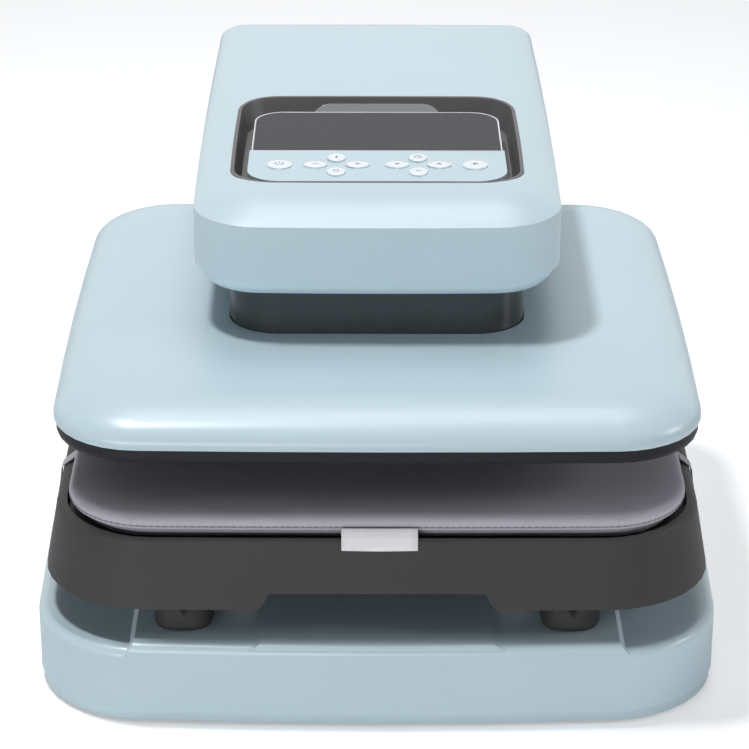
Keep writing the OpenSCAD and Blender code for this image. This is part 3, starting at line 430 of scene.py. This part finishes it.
def applied(made):
    """Bakes an object's modifiers into its mesh."""
    done = bpy.data.meshes.new_from_object(made.evaluated_get(bpy.context.evaluated_depsgraph_get()))
    made.modifiers.clear()
    made.data = done


def about_middle(scale):
    """Scaling about the pad's middle."""
    return Matrix.Translation(PAD_MID) @ Matrix.Diagonal(scale).to_4x4() @ Matrix.Translation(-PAD_MID)


def swell(made):
    """Swells the pad by cloth simulation, up to a cap, and stretches it back to the solid's size."""
    rest = [v.co.copy() for v in made.data.vertices]
    cloth = made.modifiers.new("swell", "CLOTH").settings
    cloth.quality = 5
    cloth.mass = 0.3
    cloth.tension_stiffness = 15
    cloth.compression_stiffness = 15
    cloth.bending_stiffness = 0.5
    cloth.use_pressure = True
    cloth.uniform_pressure_force = SWELL_PRESSURE
    cloth.effector_weights.gravity = 0.0
    for step in range(1, SWELL_STEPS + 1):
        scene.frame_set(step)
    applied(made)
    scene.frame_set(1)
    for v, begin in zip(made.data.vertices, rest):
        moved = v.co - begin
        if moved.length > SWELL_CAP:
            v.co = begin + moved.normalized() * SWELL_CAP
    reach = [max(abs(v.co[i] - PAD_MID[i]) for v in made.data.vertices) for i in range(3)]
    made.data.transform(about_middle(Vector([(h - SKIN_GAP) / r for h, r in zip(PAD_HALF, reach)])))


def stuffed_pad():
    """The pad's solid, drawn in a little and swollen, kept inside the solid's skin, with its cloth below the
    seam painted darker as painted shade.
    """
    bm = solid_copy("press_pad")
    form = BVHTree.FromBMesh(bm)
    drawn = Vector([(h - d) / h for h, d in zip(PAD_HALF, DRAW_IN)])
    bmesh.ops.transform(bm, verts=bm.verts, matrix=about_middle(drawn))
    made = piece("pad_body", bm, [pad_cloth, underside_painted_shade_cloth], "tray", ["press_pad"])
    remesh = made.modifiers.new("even", "REMESH")
    remesh.mode = "VOXEL"
    remesh.voxel_size = PAD_VOXEL
    applied(made)
    swell(made)
    for v in made.data.vertices:
        near, normal, _, _ = form.find_nearest(v.co)
        if (v.co - near).dot(normal) > -SKIN_GAP:
            v.co = near - normal * SKIN_GAP
    bm = bmesh.new()
    bm.from_mesh(made.data)
    level_cut(bm, SEAM_Z)
    # Cut at the seam; the faces below it take the mid grey cloth, painted shade where the pad curves under
    for face in bm.faces:
        face.material_index = 0 if face.calc_center_median().z > SEAM_Z else 1
    bm.to_mesh(made.data)
    bm.free()
    made.data.materials.clear()
    made.data.materials.append(pad_cloth)
    made.data.materials.append(underside_painted_shade_cloth)
    made.data.shade_smooth()
    smooth = made.modifiers.new("round", "SUBSURF")
    smooth.levels = smooth.render_levels = 1


def hem():
    """A strip of cloth sewn round the pad's edge below the seam, standing a little proud."""
    bm = solid_copy("press_pad")
    bmesh.ops.join_triangles(bm, faces=bm.faces, angle_face_threshold=JOIN_LIMIT,
                             angle_shape_threshold=JOIN_LIMIT)
    level_cut(bm, HEM_LOW, below=True)
    level_cut(bm, HEM_HIGH, above=True)
    made = piece("pad_hem", bm, [hem_cloth], "tray", ["press_pad"])
    wall = made.modifiers.new("thickness", "SOLIDIFY")
    wall.thickness = HEM_THICK
    wall.offset = HEM_PROUD
    smooth = made.modifiers.new("round", "SUBSURF")
    smooth.levels = smooth.render_levels = 2


def walk(points, pitch):
    """Evenly spaced places along a closed line of points, each with its direction."""
    points = sorted(points, key=lambda p: math.atan2(p.y - PAD_MID.y, p.x - PAD_MID.x))
    legs = list(zip(points, points[1:] + points[:1]))
    total = sum((b - a).length for a, b in legs)
    count = round(total / pitch)
    done, found = 0.0, []
    for a, b in legs:
        while len(found) < count and len(found) * total / count <= done + (b - a).length:
            along = (b - a).normalized()
            found.append((a + along * (len(found) * total / count - done), along))
        done += (b - a).length
    return found


def stitches():
    """A row of short stitches along the pad's seam."""
    bm = bmesh.new()
    seam = solid_copy("press_pad")
    for place, along in walk(level_cut(seam, SEAM_Z), STITCH_PITCH):
        lifted = Matrix.Translation(place + along.cross(UP) * STITCH_LIFT)
        turned = along.to_track_quat("X", "Z").to_matrix().to_4x4()
        bmesh.ops.create_uvsphere(bm, u_segments=6, v_segments=4, radius=1.0,
                                  matrix=lifted @ turned @ STITCH_FORM)
    seam.free()
    piece("pad_stitches", bm, [thread], "tray", ["press_pad"])


stuffed_pad()
hem()
stitches()

# Strips of cloth: the tag and the bands
STRIP_COLUMNS = 8
STRIP_THICK = 0.6 * MM
RIPPLE_TURN = 2.2


def ribbon(name, width, path, material, node, ripple=0.0):
    """A flat strip of cloth that follows a path of points; width is the vector across it."""
    bm = bmesh.new()
    bmesh.ops.create_grid(bm, x_segments=STRIP_COLUMNS, y_segments=len(path) - 1, size=1.0)
    for v in bm.verts:
        step = round((v.co.y + 1) / 2 * (len(path) - 1))
        share = step / (len(path) - 1)
        wave = Vector((0, ripple * share * math.cos(RIPPLE_TURN * v.co.x), 0))
        v.co = path[step] + width * v.co.x / 2 + wave
    bmesh.ops.recalc_face_normals(bm, faces=bm.faces)
    made = piece(name, bm, [material], "tray", [node])
    wall = made.modifiers.new("thickness", "SOLIDIFY")
    wall.thickness = STRIP_THICK
    wall.offset = 0.0
    return made


# Bare tag sewn into the seam at the front: it leaves the seam, bends and hangs over the tray's edge
TAG_LOW, TAG_HIGH = corners("pad_label")
TAG_X = (TAG_LOW.x + TAG_HIGH.x) / 2
TAG_POINTS = 13
TAG_RIPPLE = -0.5 * MM
tag_leaves = (TAG_X, TAG_HIGH.y - 0.2 * MM, SEAM_Z + 0.1 * MM)
tag_bends = (TAG_X, TAG_HIGH.y - 2.0 * MM, SEAM_Z - 1.0 * MM)
tag_hangs = (TAG_X, TAG_LOW.y - 0.1 * MM, SEAM_Z - 7 * MM)
tag_ends = (TAG_X, TAG_LOW.y + 0.3 * MM, TAG_LOW.z)
drop = [Vector(p) for p in interpolate_bezier(tag_leaves, tag_bends, tag_hangs, tag_ends, TAG_POINTS)]
tag = ribbon("pad_tag", Vector((TAG_HIGH.x - TAG_LOW.x, 0, 0)), drop, tag_satin, "pad_label",
             TAG_RIPPLE)

# Four elastic bands that hold the pad down: from the seam over the tray's edge and down its side
BAND_LOW, BAND_HIGH = corners("pad_straps")
TRAY_TOP = corners("tray_shell")[1].z
BAND_W = 10 * MM
BAND_TUCK = 0.6 * MM
BAND_LIFT = 0.9 * MM
FLANK_LIFT = BAND_LIFT * 0.6
RIM_R = 7 * MM
RIM_INSET = 8.95 * MM
RIM_TURNS = range(45, 91, 9)
TOP_STEPS = 5
FLANK_STEPS = 6
bm = solid_copy("tray_shell")
tray_form = BVHTree.FromBMesh(bm)
bm.free()


def band_path(side, y):
    """A band's way from the pad's seam over the tray's rim and down the tray's flank."""
    rim = Vector((side * (BAND_HIGH.x - RIM_INSET - RIM_R), 0, TRAY_TOP - RIM_R))
    seam = Vector((side * (PAD_HIGH.x - BAND_TUCK), y, SEAM_Z))
    over = [Vector((rim.x + side * (RIM_R + BAND_LIFT) * math.sin(math.radians(turn)), y,
                    rim.z + (RIM_R + BAND_LIFT) * math.cos(math.radians(turn)))) for turn in RIM_TURNS]
    path = [seam.lerp(over[0], i / TOP_STEPS) for i in range(TOP_STEPS)] + over
    for i in range(1, FLANK_STEPS + 1):
        outside = Vector((side * BAND_HIGH.x * 2, y, rim.z + (BAND_LOW.z - rim.z) * i / FLANK_STEPS))
        flank = tray_form.ray_cast(outside, Vector((-side, 0, 0)))[0]
        path.append(flank + Vector((side * FLANK_LIFT, 0, 0)))
    return path


for hand, side in (("left", -1), ("right", 1)):
    for end, y in (("front", BAND_LOW.y + BAND_W / 2), ("back", BAND_HIGH.y - BAND_W / 2)):
        path = band_path(side, y)
        band = ribbon(f"pad_band_{hand}_{end}", Vector((0, BAND_W, 0)), path,
                      elastic, "pad_straps")

# Buttons: white caps with domed tops, each with a small printed sign
DOME_RISE = 0.5 * MM
# Rings of the dome: each ring's width as a share of the last one's, and its share of the rise
DOME_RINGS = ((0.93, 0.45), (0.88, 0.3), (0.76, 0.2), (0.6, 0.05))
RING_INSET = 0.001 * MM
FLAT_TOP = 0.9
INK = 0.12 * MM
SIGN_SCALE = 1.6
SIGN_ANGLE = 30.0
ARC_STEP = 12


def domed_button(name):
    """The button's solid with its top drawn in and up into a shallow dome."""
    bm = solid_copy(name)
    join_facets(bm)
    low, high = corners(name)
    middle = Matrix.Translation(-(low + high) / 2)
    top = [f for f in bm.faces if f.normal.z > FLAT_TOP and f.calc_center_median().z > high.z - LEVEL_SLACK]
    bmesh.ops.translate(bm, verts=list({v for f in top for v in f.verts}), vec=(0, 0, -DOME_RISE))
    for share, lift in DOME_RINGS:
        bmesh.ops.inset_region(bm, faces=top, thickness=RING_INSET)
        drawn = list({v for f in top for v in f.verts})
        bmesh.ops.scale(bm, verts=drawn, vec=(share, share, 1), space=middle)
        bmesh.ops.translate(bm, verts=drawn, vec=(0, 0, DOME_RISE * lift))
    made = piece(name + "_cap", bm, [white_abs], node_body[name], [name])
    made.data.set_sharp_from_angle(angle=math.radians(ROUND_ANGLE))


def sign_bar(bm, x, y, wide, deep):
    """A small flat bar of ink, in millimetres from the button's middle."""
    bmesh.ops.create_cube(bm, size=1.0, matrix=Matrix.Translation((x * MM, y * MM, 0))
                          @ Matrix.Diagonal((wide * MM, deep * MM, INK, 1)))


def sign_round(bm, radius, sides, y=0.0, turn=0.0):
    """A small flat disc or polygon of ink, in millimetres and degrees."""
    bmesh.ops.create_cone(bm, cap_ends=True, segments=sides, radius1=radius * MM, radius2=radius * MM,
                          depth=INK, matrix=Matrix.Translation((0, y * MM, 0))
                          @ Matrix.Rotation(math.radians(turn), 4, "Z"))


def sign_arc(bm, radius, width, begin, sweep):
    """A small flat arc of ink, in millimetres and degrees, spun round the button's middle."""
    turn = math.radians(begin)
    outer = radius + width
    half = INK / 2
    section = [bm.verts.new((reach * MM * math.cos(turn), reach * MM * math.sin(turn), z))
               for reach, z in ((radius, -half), (outer, -half), (outer, half), (radius, half))]
    loop = [bm.edges.new(pair) for pair in zip(section, section[1:] + section[:1])]
    bmesh.ops.spin(bm, geom=section + loop, cent=(0, 0, 0), axis=UP, angle=math.radians(sweep),
                   steps=round(sweep / ARC_STEP), use_merge=sweep >= 360)
    bmesh.ops.holes_fill(bm, edges=[edge for edge in bm.edges if edge.is_boundary], sides=4)
    bmesh.ops.recalc_face_normals(bm, faces=bm.faces)


def sign_on(bm):
    """A broken ring with a bar in its gap."""
    sign_arc(bm, 1.5, 0.45, 125, 290)
    sign_bar(bm, 0, 1.3, 0.45, 1.6)


def sign_clock(bm):
    """A ring with two hands."""
    sign_arc(bm, 1.4, 0.4, 0, 360)
    sign_bar(bm, 0, 0.45, 0.35, 1.0)
    sign_bar(bm, 0.4, 0, 0.9, 0.35)


def sign_minus(bm):
    """One level bar."""
    sign_bar(bm, 0, 0, 2.4, 0.5)


def sign_plus(bm):
    """Two crossed bars."""
    sign_minus(bm)
    sign_bar(bm, 0, 0, 0.5, 2.4)


def sign_warm(bm):
    """A stem on a bulb."""
    sign_bar(bm, 0, 0.5, 0.5, 1.9)
    sign_round(bm, 0.7, 16, y=-0.9)


def sign_square(bm):
    """An open square of four bars."""
    for side in (-1, 1):
        sign_bar(bm, side * 1.0, 0, 0.4, 2.4)
        sign_bar(bm, 0, side * 1.0, 1.7, 0.4)


def sign_up(bm):
    """A triangle that points backwards."""
    sign_round(bm, 1.4, 3)


def sign_down(bm):
    """A triangle that points forwards."""
    sign_round(bm, 1.4, 3, turn=180)


def sign_go(bm):
    """A larger triangle that points to the right."""
    sign_round(bm, 1.7, 3, turn=-90)


def printed_sign(name, draw):
    """A button's sign in ink on the top of its dome."""
    low, high = corners(name)
    bm = bmesh.new()
    draw(bm)
    bmesh.ops.scale(bm, verts=bm.verts, vec=(SIGN_SCALE, SIGN_SCALE, 1))
    bmesh.ops.translate(bm, verts=bm.verts, vec=((low.x + high.x) / 2, (low.y + high.y) / 2, high.z))
    made = piece(name + "_sign", bm, [grey_ink], node_body[name], [name])
    made.data.set_sharp_from_angle(angle=math.radians(SIGN_ANGLE))


BUTTON_SIGNS = {
    "button_power": sign_on,
    "button_left_a": sign_minus,
    "button_left_b": sign_warm,
    "button_left_c": sign_plus,
    "button_left_d": sign_square,
    "button_right_a": sign_down,
    "button_right_b": sign_clock,
    "button_right_c": sign_up,
    "button_right_d": sign_minus,
    "button_start": sign_go,
}
for name, draw in BUTTON_SIGNS.items():
    domed_button(name)
    printed_sign(name, draw)

# Light: a lamp above at the left, weaker ones behind and at the right, a wide low one in front, a dim room
ROOM_COLOUR = (0.93, 0.96, 1.0, 1.0)
ROOM_LIGHT = 0.14
WHITE = (1.0, 1.0, 1.0, 1.0)


def lamp(name, place, aim, wide, high, power):
    """An oval area lamp at a place, turned towards its aim."""
    data = bpy.data.lights.new(name, "AREA")
    data.shape = "ELLIPSE"
    data.size = wide
    data.size_y = high
    data.energy = power
    made = bpy.data.objects.new(name, data)
    scene.collection.objects.link(made)
    made.location = place
    made.rotation_euler = (Vector(aim) - Vector(place)).to_track_quat("-Z", "Y").to_euler()


lamp("key_lamp", place=(-0.6, -0.02, 2.45), aim=(0, 0, 0.15), wide=0.3, high=0.3, power=30.5)
lamp("back_lamp", place=(0.1, 0.8, 2.4), aim=(0, 0, 0.2), wide=1.3, high=1.3, power=14.0)
lamp("right_lamp", place=(1.8, -0.4, 0.8), aim=(0, 0, 0.15), wide=0.5, high=0.5, power=7.5)
lamp("front_lamp", place=(-1.0, -2.7, 0.28), aim=(0, 0, 0.1), wide=2.4, high=0.4, power=29.0)
world = bpy.data.worlds.new("room")
scene.world = world
world.use_nodes = True
tree = world.node_tree
ray = add(tree, "ShaderNodeLightPath")
mirrored = add(tree, "ShaderNodeMath",
               [(0, ray.outputs["Is Camera Ray"]), (1, ray.outputs["Is Glossy Ray"])], operation="MAXIMUM")
shown = add(tree, "ShaderNodeMath",
            [(0, mirrored.outputs["Value"]), (1, ray.outputs["Is Transmission Ray"])], operation="MAXIMUM")
room = add(tree, "ShaderNodeBackground", [("Color", ROOM_COLOUR), ("Strength", ROOM_LIGHT)])
white = add(tree, "ShaderNodeBackground", [("Color", WHITE), ("Strength", 1.0)])
either = add(tree, "ShaderNodeMixShader",
             [(0, shown.outputs["Value"]), (1, room.outputs[0]), (2, white.outputs[0])])
tree.links.new(either.outputs[0], tree.nodes["World Output"].inputs["Surface"])

# Floor: pale matte paper, lifted towards white for the camera, keeping the shadow
FLOOR_HALF = 12.0
PAPER_CLOUD = 400 * MM
PAPER_ROUGHNESS = 0.9
PAPER_GLOW = 0.35
bm = bmesh.new()
bmesh.ops.create_grid(bm, x_segments=1, y_segments=1, size=FLOOR_HALF)
mesh = bpy.data.meshes.new("floor")
bm.to_mesh(mesh)
bm.free()
floor = bpy.data.objects.new("floor", mesh)
scene.collection.objects.link(floor)
paper, tree, shader, place = start("paper_matte_white")
tone = add(tree, "ShaderNodeTexNoise", [("Vector", place), ("Scale", 1 / PAPER_CLOUD), ("Detail", 2.0)])
tint = add(tree, "ShaderNodeMixRGB",
           [("Fac", tone.outputs["Fac"]), ("Color1", linear("#f2f3f4")), ("Color2", linear("#eff0f2"))])
tree.links.new(tint.outputs["Color"], shader.inputs["Base Color"])
shader.inputs["Roughness"].default_value = PAPER_ROUGHNESS
ray = add(tree, "ShaderNodeLightPath")
glow = add(tree, "ShaderNodeMath",
           [(0, ray.outputs["Is Camera Ray"]), (1, PAPER_GLOW)], operation="MULTIPLY")
shader.inputs["Emission Color"].default_value = WHITE
tree.links.new(glow.outputs["Value"], shader.inputs["Emission Strength"])
mesh.materials.append(paper)
